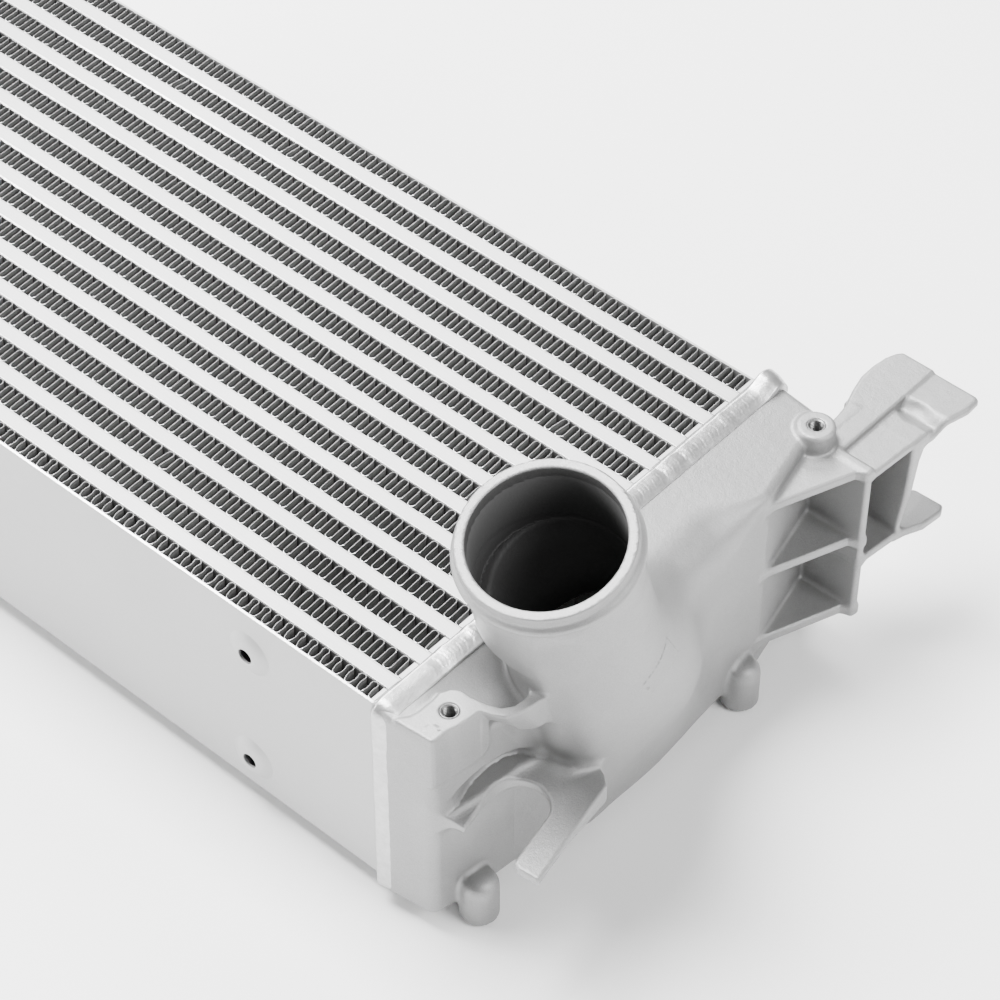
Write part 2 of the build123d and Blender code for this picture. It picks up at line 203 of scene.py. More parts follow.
def cast_metal(name, sign):
    """Blasted cast aluminium with a fine bright grain; the bore gets painted shade, going dark below its rim.
    """
    m = Nodes(name)
    point = m.object_point()
    fine = m.noise(point, 1700.0, 2.0, 0.8)
    grain = m.noise(point, 800.0, 5.0, 0.7)
    patches = m.noise(point, 22.0, 5.0, 0.6)
    dents = m.noise(point, 170.0, 3.0, 0.5)
    height = m.math("ADD", m.math("MULTIPLY", grain, 0.8), m.math("MULTIPLY", fine, 0.5))
    height = m.math("ADD", height, m.math("MULTIPLY", dents, 0.9))
    normal = m.bump(height, 0.6, 0.0004)
    value = m.math("MULTIPLY", m.span(patches, 0.3, 0.7, 0.275, 0.305), m.span(fine, 0.25, 0.75, 0.86, 1.14))
    along, across = bore_shade(m, point, sign)
    # where the bore's painted shade goes: one between the rim and the foot of the bore, zero everywhere else
    within = m.span(across, (BORE + 0.3) / 1000.0, BORE / 1000.0, 0.0, 1.0)
    below_rim = m.span(along, 0.0, -0.0006, 0.0, 1.0)
    above_foot = m.span(along, -(BORE_LENGTH + 1.0) / 1000.0, -(BORE_LENGTH - 1.0) / 1000.0, 0.0, 1.0)
    painted_shade_share = m.math("MULTIPLY", m.math("MULTIPLY", within, below_rim), above_foot)
    outer = m.math("SUBTRACT", 1.0, painted_shade_share)
    # the bore's painted shade replaces the cast grey there
    value = m.math("ADD", m.math("MULTIPLY", value, outer), m.math("MULTIPLY", bore_painted_shade(m, along), painted_shade_share))
    colour = m.grey(value)
    return m.surface(normal, colour, 0.65, m.span(grain, 0.3, 0.7, 0.40, 0.54))


def bar_metal():
    """Drawn bar with faint lines along it."""
    m = Nodes("core_aluminium")
    point = m.object_point()
    lines = m.noise(point, 160.0, 4.0, 0.6, (0.03, 6.0, 6.0))
    patches = m.noise(point, 14.0, 4.0, 0.5, (0.4, 1.0, 1.0))
    fine = m.noise(point, 900.0, 3.0, 0.6, (0.3, 1.0, 1.0))
    normal = m.bump(m.math("ADD", lines, m.math("MULTIPLY", fine, 0.3)), 0.2, 0.0003)
    value = m.math("MULTIPLY", m.span(patches, 0.3, 0.7, 0.51, 0.57), m.span(lines, 0.3, 0.7, 0.92, 1.06))
    colour = m.grey(value)
    return m.surface(normal, colour, 0.3, m.span(lines, 0.3, 0.7, 0.34, 0.5))


def plate_metal():
    """Rolled sheet, satin."""
    m = Nodes("plate_aluminium")
    point = m.object_point()
    patches = m.noise(point, 9.0, 4.0, 0.5)
    fine = m.noise(point, 1100.0, 3.0, 0.6)
    normal = m.bump(fine, 0.1, 0.0003)
    colour = m.grey(m.span(patches, 0.3, 0.7, 0.41, 0.44))
    return m.surface(normal, colour, 0.6, m.span(fine, 0.3, 0.7, 0.46, 0.56))


def fin_shade_metal():
    """The flanks of the fins, dull, and dark with painted shade for the narrow gaps between them."""
    m = Nodes("fin_aluminium")
    point = m.object_point()
    marks = m.noise(point, 400.0, 3.0, 0.6, (1.0, 1.0, 0.15))
    normal = m.bump(marks, 0.1, 0.0003)
    colour = m.grey(m.span(marks, 0.3, 0.7, 0.21, 0.27))
    return m.surface(normal, colour, 0.5, m.span(marks, 0.3, 0.7, 0.36, 0.48))


def weld_metal():
    """The shiny, slightly swirled skin of a weld."""
    m = Nodes("weld_aluminium")
    point = m.object_point()
    fine = m.noise(point, 900.0, 4.0, 0.6)
    swirl = m.noise(point, 240.0, 5.0, 0.65)
    normal = m.bump(m.math("ADD", fine, m.math("MULTIPLY", swirl, 1.4)), 0.22, 0.0004)
    colour = m.grey(m.span(swirl, 0.3, 0.7, 0.42, 0.54))
    return m.surface(normal, colour, 0.85, m.span(fine, 0.3, 0.7, 0.28, 0.4))


def insert_metal():
    """Dark bright-drawn steel."""
    m = Nodes("insert_steel")
    point = m.object_point()
    fine = m.noise(point, 800.0, 3.0, 0.6)
    normal = m.bump(fine, 0.1, 0.0002)
    colour = m.grey(m.span(fine, 0.3, 0.7, 0.16, 0.24))
    return m.surface(normal, colour, 0.8, m.span(fine, 0.3, 0.7, 0.25, 0.4))


def edge_metal(name, value, metallic, roughness):
    """A bright cut or bent edge of a sheet."""
    m = Nodes(name)
    point = m.object_point()
    fine = m.noise(point, 700.0, 3.0, 0.6)
    normal = m.bump(fine, 0.1, 0.0002)
    colour = m.grey(m.span(fine, 0.3, 0.7, value - 0.05, value + 0.03))
    return m.surface(normal, colour, metallic, m.span(fine, 0.3, 0.7, roughness, roughness + 0.12))


def painted_shade_metal(name, sign):
    """The inside of the casting, with painted shade: dark because little light comes down the bore."""
    m = Nodes(name)
    point = m.object_point()
    fine = m.noise(point, 700.0, 4.0, 0.6)
    normal = m.bump(fine, 0.2, 0.0004)
    along, across = bore_shade(m, point, sign)
    colour = m.grey(bore_painted_shade(m, along))
    return m.surface(normal, colour, 0.35, m.span(fine, 0.3, 0.7, 0.6, 0.75))


CAST = cast_metal("cast_aluminium", 1)
CAST_FAR = cast_metal("cast_aluminium_far", -1)
BAR = bar_metal()
PLATE_METAL = plate_metal()
# the fin metal: painted shade of the narrow gaps in the core
FIN_PAINTED_SHADE = fin_shade_metal()
WELD = weld_metal()
STEEL = insert_metal()
# the inside of each casting: painted shade
INSIDE_PAINTED_SHADE = painted_shade_metal("inside_painted_shade", 1)
INSIDE_FAR_PAINTED_SHADE = painted_shade_metal("inside_far_painted_shade", -1)
BAR_EDGE = edge_metal("bar_edge", 0.96, 1.0, 0.2)
FIN_EDGE = edge_metal("fin_edge", 0.34, 0.6, 0.3)

METALS = (("ambient_fin", FIN_PAINTED_SHADE), ("turbulator", FIN_PAINTED_SHADE), ("weld", WELD), ("thread_inserts", STEEL),
          ("end_tank_right", CAST), ("end_tank_left", CAST_FAR), ("side_plate", PLATE_METAL),
          ("charge_tube", BAR), ("header_bars", BAR))
for name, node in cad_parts.items():
    metal = next(metal for start, metal in METALS if name.startswith(start))
    node.data.materials.clear()
    node.data.materials.append(metal)


# Shapes given by their distance: below zero inside, above zero outside.
def smooth_union(a, b, reach):
    """Both shapes, with a fillet of about half the reach where they meet."""
    mix = np.maximum(reach - np.abs(a - b), 0.0) / reach
    return np.minimum(a, b) - mix * mix * reach * 0.25


def smooth_cut(a, b, reach):
    """What a and b share, with a round of about half the reach where they meet."""
    return -smooth_union(-a, -b, reach)


def ease(value, low, high):
    """0 below low, 1 above high, and a smooth rise between."""
    t = np.clip((value - low) / (high - low), 0.0, 1.0)
    return t * t * (3.0 - 2.0 * t)


def polygon(x, y, corners):
    """Distance to a closed outline. A corner's X or Y may be an array over the heights."""
    best, inside = None, None
    for (ax, ay), (bx, by) in zip(corners, corners[1:] + corners[:1]):
        ex, ey = bx - ax, by - ay
        px, py = x - ax, y - ay
        t = np.clip((px * ex + py * ey) / (ex * ex + ey * ey + 1e-9), 0.0, 1.0)
        far = (px - ex * t) ** 2 + (py - ey * t) ** 2
        crossing = ((ay > y) != (by > y)) & (px < ex * py / (ey + 1e-9 * (np.abs(ey) < 1e-9)))
        best = far if best is None else np.minimum(best, far)
        inside = crossing if inside is None else inside ^ crossing
    distance = np.sqrt(best)
    return np.where(inside, -distance, distance)


def inset(corners, distance):
    """The outline moved inward, so that a rounding grows it back to its size."""
    area = sum(ax * by - bx * ay for (ax, ay), (bx, by) in zip(corners, corners[1:] + corners[:1]))
    turn = 1.0 if area > 0 else -1.0
    moved = []
    for before, here, after in zip(corners[-1:] + corners[:-1], corners, corners[1:] + corners[:1]):
        e1 = np.array(here) - before
        e2 = np.array(after) - here
        n1 = np.array([-e1[1], e1[0]]) / np.hypot(*e1) * turn
        n2 = np.array([-e2[1], e2[0]]) / np.hypot(*e2) * turn
        bend = n1 + n2
        moved.append(tuple(np.array(here) + bend * distance / max(0.35, bend.dot(n1))))
    return moved


def rounded(across, along, edge):
    """A body inside both distances, grown by a round of the edge's size."""
    corner = np.hypot(np.maximum(across, 0.0), np.maximum(along, 0.0))
    return np.minimum(np.maximum(across, along), 0.0) + corner - edge


def plate(x, y, z, corners, low, high, edge):
    """A flat piece on an outline in plan, with all its edges rounded."""
    across = polygon(x, y, inset(corners, edge))
    along = np.maximum(low + edge - z, z - high + edge)
    return rounded(across, along, edge)


def drum(across, along, radius, low, high, edge):
    """A round piece between two levels of its axis, with its edges rounded."""
    return rounded(across - radius + edge, np.maximum(low + edge - along, along - high + edge), edge)


def away(x, y, spot):
    """How far a point is from an upright axis."""
    return np.hypot(x - spot[0], y - spot[1])


def smooth_row(z, heights, values):
    """A smooth curve through the values at the heights."""
    heights, values = np.array(heights, float), np.array(values, float)
    slopes = np.gradient(values, heights)
    z = np.clip(z, heights[0], heights[-1])
    k = np.clip(np.searchsorted(heights, z) - 1, 0, len(heights) - 2)
    span = heights[k + 1] - heights[k]
    t = (z - heights[k]) / span
    return ((2 * t ** 3 - 3 * t ** 2 + 1) * values[k] + (t ** 3 - 2 * t ** 2 + t) * span * slopes[k]
            + (-2 * t ** 3 + 3 * t ** 2) * values[k + 1] + (t ** 3 - t ** 2) * span * slopes[k + 1])


# The end tank casting: its levels and its outlines in plan.
TANK_FLOOR = -142.4
TANK_START = 4.5
TANK_ROUND = 7.0
TANK_OUTLINE = [(-12.0, -4.2), (17.0, -4.2), (42.5, -0.8), (47.0, 25.0), (50.0, 53.0), (64.0, 100.0),
                (64.0, 155.0), (61.0, 205.0), (60.0, 245.0), (47.0, 301.0), (44.0, 308.9), (-12.0, 308.9)]
ELBOW_HEIGHTS = [-145.0, -100.0, -60.0, -25.0, 6.0, 30.0, 50.0, 62.0]
ELBOW_MIDDLE_X = [40.0, 50.5, 54.75, 55.0, 54.0, 48.5, 43.8, 44.2]
ELBOW_MIDDLE_Y = [125.0, 124.5, 123.0, 113.5, 100.5, 94.5, 89.4, 86.3]
ELBOW_HALF_X = [14.0, 22.0, 32.0, 36.5, 36.0, 40.0, 44.2, 44.3]
ELBOW_HALF_Y = [47.0, 51.0, 53.0, 51.5, 44.5, 45.0, 45.8, 45.8]
ELBOW_POWER = [3.2, 3.0, 2.8, 2.4, 2.1, 2.0, 2.0, 2.0]
CAST_WALL = 4.6
PAD_OUTLINE = [(20.0, -2.6), (24.5, 4.0), (25.6, 10.4), (25.0, 19.6), (24.0, 25.3), (26.8, 31.2),
               (31.7, 33.9), (37.6, 33.9), (46.5, 35.8), (53.4, 38.5), (57.3, 43.7), (58.2, 50.0),
               (57.0, 62.0), (66.0, 62.0), (64.2, 46.9), (63.0, 41.0), (59.5, 34.5), (53.5, 30.9),
               (47.8, 29.2), (47.0, 23.4), (46.0, 16.5), (43.7, 10.3), (43.6, 0.9), (42.0, -1.0)]
# The scooped wall over the lug: at the pad, at its lower rim and in the recess below the rim
SCOOP_FAR_X = 130.0
SCOOP_END = [(SCOOP_FAR_X, -20.0)]
SCOOP_DROP = 52.0
SCOOP_TOP = [(43.6, -20.0), (43.8, 0.9), (45.2, 10.3), (46.2, 16.5), (47.0, 23.4), (47.6, 28.9),
             (53.5, 31.2), (59.5, 34.5), (62.8, 41.0), (65.0, 48.0), (82.0, 58.0), (SCOOP_FAR_X, 60.0)]
SCOOP_RIM = [(43.6, -20.0), (44.0, 1.0), (45.2, 10.0), (46.2, 17.0), (47.4, 28.0), (51.0, 59.5),
             (53.8, 62.5), (58.6, 66.6), (66.1, 69.7), (77.0, 72.5), (86.8, 74.3), (SCOOP_FAR_X, 78.0)]
SCOOP_LOW = [(43.6, -20.0), (43.6, 6.6), (44.2, 11.0), (39.5, 26.9), (38.2, 41.4), (40.3, 52.9),
             (44.6, 61.1), (52.0, 65.9), (60.1, 68.2), (71.7, 71.1), (81.7, 77.4), (SCOOP_FAR_X, 80.0)]
LUG_TOP, LUG_THICK = -60.0, 5.5
LUG_OUTLINE = [(34.0, 15.0), (43.6, 6.2), (55.5, 6.6), (70.0, 6.6), (90.2, 7.2), (93.8, 5.6), (106.2, 6.8),
               (93.0, 75.0), (87.0, 80.0), (60.0, 90.0), (34.0, 62.0)]
SLOT, SLOT_RADIUS, SLOT_LEAN = (67.7, 35.6), 16.0, math.radians(11.0)
PEGS = [(51.5, 23.9), (62.2, 228.3)]
PEG_RADIUS, PEG_FOOT = 11.4, -152.0
BOSS_RADIUS = 11.0
# A faint raised patch on the elbow, as (Y, Z), and a small ejector mark on the pad
PATCH_SIDE = [(101.6, -7.3), (111.6, -19.9), (135.8, -13.0), (129.3, 1.7)]
PATCH_RISE = 0.4
PAD_MARK = (37.6, 4.6)
AIR_ROOM_PLAN = [(0.0, 70.0), (40.0, 70.0), (50.0, 102.0), (50.0, 190.0), (0.0, 190.0)]
REAR_LIMIT = 385.0

# The bracket: shelves, web, box with its flared wall, and the arm on top.
SHELF_PLAN = [(58.5, 240.0), (60.6, 246.5), (79.0, 294.0), (84.5, 297.5), (85.5, 303.0), (40.0, 303.0),
              (40.0, 290.0)]
SHELVES = ((-11.0, 6.5), (-63.5, 6.0), (-118.0, 7.0))
WEB_PLAN = [(40.0, 298.0), (84.5, 297.6), (85.5, 302.6), (40.0, 302.6)]
WEB_LOW, WEB_HIGH = -125.5, -11.0
BOX_FLOOR_PLAN = [(40.0, 298.0), (85.0, 298.0), (88.5, 328.0), (95.5, 343.5), (97.0, 358.0), (94.6, 362.6),
                  (76.0, 362.0), (40.0, 330.0)]
BOX_LOW, BOX_FLOOR = -84.5, -79.0
BOX_INNER_PLAN = [(46.0, 299.0), (52.0, 299.0), (52.0, 335.0), (46.0, 335.0)]
FLARE_SIDE = [(327.0, -84.0), (332.0, -84.0), (331.5, -74.0), (335.0, -64.0), (338.9, -53.0),
              (342.6, -32.6), (347.5, -21.5), (354.0, -17.5), (348.0, -15.0), (334.5, -14.6),
              (334.3, -30.0), (332.6, -52.0), (328.2, -72.0)]
FLARE_FROM_X, FLARE_TO_X = 40.0, 88.5
ARM_PLAN = [(44.0, 300.0), (64.0, 300.0), (64.6, 385.6), (43.2, 385.6), (40.0, 381.5), (37.6, 375.0),
            (36.4, 365.0), (36.6, 355.0), (39.5, 343.0), (43.6, 331.4), (45.4, 322.0), (46.0, 317.0)]
STRIP_PLAN = [(60.0, 298.5), (82.0, 298.0), (85.5, 302.0), (87.5, 330.0), (89.0, 347.0), (60.0, 350.0)]
FLAP_PLAN = [(58.0, 340.0), (88.0, 340.0), (90.0, 352.0), (92.5, 361.0), (95.8, 373.8), (95.4, 383.2),
             (93.0, 385.0), (58.0, 385.0)]
FLAP_TOP, FLAP_THICK, TROUGH_DEPTH = -11.8, 5.6, 6.6


def roof_height(x, y):
    """The roof of the tank: falling away from the core, and lower in front of the pipe."""
    rear = 3.0 - 0.15 * (x - 17.0)
    front = 2.0 - 0.58 * np.clip(x - 19.0, 0.0, 40.0)
    return rear + (front - rear) * (1.0 - ease(y, 60.0, 130.0)) * ease(y, 10.0, 34.0)


def elbow(x, y, z, shrink):
    """The upright body whose round section grows from the pipe into the tank, level by level."""
    middle_x = smooth_row(z, ELBOW_HEIGHTS, ELBOW_MIDDLE_X)
    middle_y = smooth_row(z, ELBOW_HEIGHTS, ELBOW_MIDDLE_Y)
    half_x = smooth_row(z, ELBOW_HEIGHTS, ELBOW_HALF_X) - shrink
    half_y = smooth_row(z, ELBOW_HEIGHTS, ELBOW_HALF_Y) - shrink
    power = smooth_row(z, ELBOW_HEIGHTS, ELBOW_POWER)
    reach = (np.abs(x - middle_x) / half_x) ** power + (np.abs(y - middle_y) / half_y) ** power
    return (reach ** (1.0 / power) - 1.0) * 0.5 * (half_x + half_y)


def pipe_place(x, y, z):
    """How far a point is from the pipe axis, and how far it is above the mouth along it."""
    dx, dy, dz = x - MOUTH[0], y - MOUTH[1], z - MOUTH[2]
    along = dx * PIPE_AXIS[0] + dy * PIPE_AXIS[1] + dz * PIPE_AXIS[2]
    across = np.sqrt(np.maximum(dx * dx + dy * dy + dz * dz - along * along, 0.0))
    return across, along


def bracket(x, y, z):
    """Three shelves, a web, a box behind it and the arm with its strip and flap."""
    solid = None
    for top, thick in SHELVES:
        shelf = plate(x, y, z, SHELF_PLAN, top - thick, top, 1.6)
        solid = shelf if solid is None else smooth_union(solid, shelf, 4.0)
    solid = smooth_union(solid, plate(x, y, z, WEB_PLAN, WEB_LOW, WEB_HIGH, 1.8), 3.5)
    # the box behind the web, its floor with the ear, and the wall that flares up into the flap
    solid = smooth_union(solid, plate(x, y, z, BOX_FLOOR_PLAN, BOX_LOW, BOX_FLOOR, 1.6), 4.0)
    flare = smooth_cut(polygon(y, z, FLARE_SIDE), np.maximum(FLARE_FROM_X - x, x - FLARE_TO_X), 2.0)
    solid = smooth_union(solid, flare, 3.0)
    solid = smooth_union(solid, plate(x, y, z, BOX_INNER_PLAN, -84.0, WEB_HIGH, 1.5), 3.0)
    # the raised arm, the lower strip beside it, and the flap behind a trough
    arm = plate(x, y, z, ARM_PLAN, -16.5, -10.6, 1.8)
    strip = plate(x, y, z, STRIP_PLAN, -19.5, -13.8, 1.8)
    flap_top = FLAP_TOP - TROUGH_DEPTH * (1.0 - ease(y, 350.0, 361.0))
    flap = smooth_cut(polygon(x, y, FLAP_PLAN), np.maximum(z - flap_top, flap_top - FLAP_THICK - z), 2.5)
    dent = np.sqrt(((x - 74.0) / 1.4) ** 2 + (y - 353.0) ** 2 + ((z + 11.0) / 0.85) ** 2) - 7.0
    low_part = smooth_cut(smooth_union(strip, flap, 2.0), -dent, 2.5)
    return smooth_union(smooth_union(solid, arm, 2.0), low_part, 1.6)


def air_room(x, y, z):
    """The air space below the bore: the elbow one wall smaller and a room in front of the tubes."""
    ends = np.maximum(TANK_FLOOR + CAST_WALL - z, z - 52.0)
    air = smooth_cut(elbow(x, y, z, CAST_WALL), ends, 4.0)
    return smooth_union(air, plate(x, y, z, AIR_ROOM_PLAN, -134.0, -14.0, 3.0), 6.0)


def scooped(solid, x, y, z):
    """The casting with the wall over the lug cut back, and the slotted lug added."""
    share = np.clip((PAD_TOP - z) / (PAD_TOP + SCOOP_DROP), 0.0, 1.08)
    curve = [(tx + (bx - tx) * share, ty + (by - ty) * share)
             for (tx, ty), (bx, by) in zip(SCOOP_TOP, SCOOP_RIM)]
    space = np.maximum(polygon(x, y, curve + SCOOP_END), LUG_TOP - z)
    rim = -SCOOP_DROP + 9.0 * np.sin(math.pi * np.clip((y - 4.0) / 60.0, 0.0, 1.0))
    under = smooth_cut(polygon(x, y, SCOOP_LOW + SCOOP_END), z - rim, 7.0)
    space = np.minimum(space, np.maximum(under, LUG_TOP - z))
    solid = smooth_cut(solid, -space, 2.2)
    thick = LUG_THICK + 8.0 * ease(y, 30.0, 80.0) * ease(x, 70.0, 88.0)
    lug_plan = polygon(x, y, inset(LUG_OUTLINE, 1.5)) - 1.5
    lug = smooth_cut(lug_plan, np.maximum(z - LUG_TOP, LUG_TOP - thick - z), 1.6)
    solid = smooth_union(solid, lug, 11.0 - 6.0 * ease(x, 72.0, 86.0))
    ahead = (x - SLOT[0]) * math.sin(SLOT_LEAN) - (y - SLOT[1]) * math.cos(SLOT_LEAN)
    aside = (x - SLOT[0]) * math.cos(SLOT_LEAN) + (y - SLOT[1]) * math.sin(SLOT_LEAN)
    slot = np.where(ahead > 0.0, np.abs(aside), np.hypot(aside, ahead)) - SLOT_RADIUS
    return smooth_cut(solid, -np.maximum(slot, np.maximum(z + 51.0, -74.0 - z)), 1.6)


def tank(x, y, z, whole=True):
    """The casting: whole with lug and bracket, or plain as at the far end."""
    plan = polygon(x, y, inset(TANK_OUTLINE, TANK_ROUND)) - TANK_ROUND
    body = smooth_cut(plan, TANK_FLOOR - z, TANK_ROUND)
    roof_round = 5.0 + 20.0 * ease(y, 80.0, 150.0) * (1.0 - ease(y, 205.0, 245.0))
    body = smooth_cut(body, (z - roof_height(x, y)) * 0.96, roof_round)
    pad_foot = -34.0 + 16.0 * ease(y, 30.0, 46.0)
    pad = smooth_cut(polygon(x, y, PAD_OUTLINE), np.maximum(z - PAD_TOP, pad_foot - z), 1.6)
    solid = smooth_union(body, pad, 3.0 + 4.0 * ease(y, 34.0, 50.0))
    solid = np.maximum(solid, TANK_START - x)
    # the pipe and the elbow that it swells into
    across, along = pipe_place(x, y, z)
    neck = drum(across, along, NECK, -60.0, -2.0, 0.5)
    bulge = smooth_cut(elbow(x, y, z, 0.0), np.maximum(TANK_FLOOR - z, z - 55.0), 6.0)
    bulge = smooth_union(bulge, neck, 3.0)
    solid = smooth_union(solid, bulge, 4.5 + 19.5 * ease(y, 80.0, 150.0))
    if whole:
        solid = scooped(solid, x, y, z)
        solid = smooth_union(solid, bracket(x, y, z), 3.0)
    for spot in PEGS:
        out = away(x, y, spot)
        peg = drum(out, z, PEG_RADIUS, PEG_FOOT, -120.0, 2.4)
        dome = np.hypot(out, np.minimum(0.0, -(z + 131.0))) - PEG_RADIUS - 0.2
        peg = smooth_cut(peg, np.maximum(dome, PEG_FOOT - z), 3.0)
        solid = smooth_union(solid, peg, 4.0)
    solid = smooth_union(solid, drum(away(x, y, BOSS_HOLE), z, BOSS_RADIUS, -30.0, BOSS_TOP, 2.2), 3.0)
    lip = drum(across, along, LIP, -12.0, 0.0, 1.0)
    bead = np.hypot(across - (BEAD - BEAD_HALF), along + BEAD_DOWN) - BEAD_HALF
    solid = smooth_union(smooth_union(solid, lip, 1.0), bead, 2.0)
    if whole:
        solid = smooth_cut(solid, y - REAR_LIMIT, 1.5)
        solid = smooth_union(solid, drum(away(x, y, PAD_MARK), z, 3.7, -8.0, PAD_TOP + 0.15, 0.3), 0.4)
        patch = np.maximum(solid - PATCH_RISE, polygon(y, z, PATCH_SIDE) + 0.4)
        solid = np.where(x > 70.0, smooth_union(solid, patch, 0.4), solid)
    # air way and tapped holes
    bore = drum(across, along, BORE, -BORE_LENGTH, 20.0, 0.5)
    air = air_room(x, y, z)
    air = np.where(x > 16.0, np.maximum(air, solid + 3.0), air)
    solid = smooth_cut(solid, -smooth_union(air, bore, 2.0), 1.4)
    for spot in (PAD_HOLE, BOSS_HOLE):
        hole = np.maximum(away(x, y, spot) - 5.0 - 0.5 * ease(z, 1.6, 3.2), PAD_TOP - HOLE_DEPTH - z)
        solid = smooth_cut(solid, -hole, 0.6)
    return solid


def net_cells(inside):
    """The grid cells that the surface passes through, and a grid with the number of each."""
    size = [n - 1 for n in inside.shape]
    corner_count = np.zeros(size, dtype=np.int8)
    for i, j, k in np.ndindex(2, 2, 2):
        corner_count += inside[i:i + size[0], j:j + size[1], k:k + size[2]]
    cells = np.argwhere((corner_count > 0) & (corner_count < 8))
    number = -np.ones(size, dtype=np.int64)
    number[tuple(cells.T)] = np.arange(len(cells))
    return cells, number


def net_points(field, cells):
    """One point in each cell: the mean of the places where the surface crosses the cell's edges."""
    total = np.zeros((len(cells), 3))
    hits = np.zeros(len(cells))
    for axis in range(3):
        others = [a for a in range(3) if a != axis]
        for p, q in np.ndindex(2, 2):
            start = cells.copy()
            start[:, others[0]] += p
            start[:, others[1]] += q
            end = start.copy()
            end[:, axis] += 1
            fa, fb = field[tuple(start.T)], field[tuple(end.T)]
            crossed = (fa < 0) != (fb < 0)
            t = np.where(crossed, fa / np.where(crossed, fa - fb, 1.0), 0.0)
            point = (start - cells).astype(float)
            point[:, axis] += t
            total += point * crossed[:, None]
            hits += crossed
    return cells + total / hits[:, None]


def net_faces(inside, number):
    """One face across each grid edge that the surface crosses, between the four cells round that edge."""
    faces = []
    for axis in range(3):
        others = [(axis + 1) % 3, (axis + 2) % 3]
        limit = np.array(number.shape)[others]
        change = -np.diff(inside.astype(np.int8), axis=axis)
        for sign in (1, -1):
            edges = np.argwhere(change == sign)
            edges = edges[np.all((edges[:, others] >= 1) & (edges[:, others] < limit), axis=1)]
            ring = []
            for p, q in ((0, 0), (1, 0), (1, 1), (0, 1)):
                cell = edges.copy()
                cell[:, others[0]] -= 1 - p
                cell[:, others[1]] -= 1 - q
                ring.append(number[tuple(cell.T)])
            quad = np.stack(ring if sign == 1 else ring[::-1], axis=1)
            faces.append(quad[(quad >= 0).all(axis=1)])
    return np.concatenate(faces)


def slope_at(shape, points):
    """The distance at each point, and how fast it grows along X, Y and Z."""
    delta = 0.02
    here = shape(points[:, 0], points[:, 1], points[:, 2])
    slope = np.stack([shape(points[:, 0] + delta * (a == 0), points[:, 1] + delta * (a == 1),
                            points[:, 2] + delta * (a == 2)) - here for a in range(3)], axis=1) / delta
    return here, slope


def settle(shape, points, step, rounds):
    """The points moved onto the surface, never further than 0.6 of a step at a time."""
    for _ in range(rounds):
        here, slope = slope_at(shape, points)
        move = here[:, None] * slope / np.maximum((slope ** 2).sum(axis=1), 0.05)[:, None]
        length = np.linalg.norm(move, axis=1, keepdims=True)
        points = points - move * np.minimum(1.0, 0.6 * step / np.maximum(length, 1e-9))
    return points


def relax(verts, pairs):
    """Each point moved half the way to the mean of its neighbours."""
    pull = np.zeros_like(verts)
    weight = np.zeros(len(verts))
    for a, b in ((0, 1), (1, 0)):
        for c in range(3):
            pull[:, c] += np.bincount(pairs[:, a], verts[pairs[:, b], c], len(verts))
        weight += np.bincount(pairs[:, a], minlength=len(verts))
    return verts + 0.5 * (pull / np.maximum(weight, 1)[:, None] - verts)


def skin(shape, low, high, step):
    """Surface nets on a grid, evened out and moved onto the exact surface, with its normals."""
    counts = [int(math.ceil((b - a) / step)) + 1 for a, b in zip(low, high)]
    x, y, z = [(a + step * np.arange(n)).astype(np.float32) for a, n in zip(low, counts)]
    field = np.asarray(shape(x[:, None, None], y[None, :, None], z[None, None, :]), dtype=np.float32)
    field[np.abs(field) < 1e-6] = 1e-6
    inside = field < 0.0
    cells, number = net_cells(inside)
    verts = np.array(low) + net_points(field, cells) * step
    faces = net_faces(inside, number)
    verts = settle(shape, verts, step, 2)
    pairs = np.concatenate([faces[:, [0, 1]], faces[:, [1, 2]], faces[:, [2, 3]], faces[:, [3, 0]]])
    for _ in range(2):
        verts = settle(shape, relax(verts, pairs), step, 2)
    _, slope = slope_at(shape, verts)
    normals = slope / np.maximum(np.linalg.norm(slope, axis=1, keepdims=True), 1e-9)
    return verts, faces, normals


# Core: bars with their parting sheets. The photo shows the bars a little narrower than the tubes of the
# CAD source and the fins as much wider, so each bar is set back at its front and its back.
BAR_FRONT, BAR_BACK = 0.65, 0.4
SHEET = 0.65


def row_limits(index):
    """From where to where in Y a fin row reaches between its bars."""
    low = FIRST_TUBE_Y + (index - 1) * ROW_PITCH + TUBE_HEIGHT
    high = low + ROW_PITCH - TUBE_HEIGHT
    return (PLATE if index == 0 else low - BAR_BACK), (high if index == TUBE_COUNT else high + BAR_FRONT)


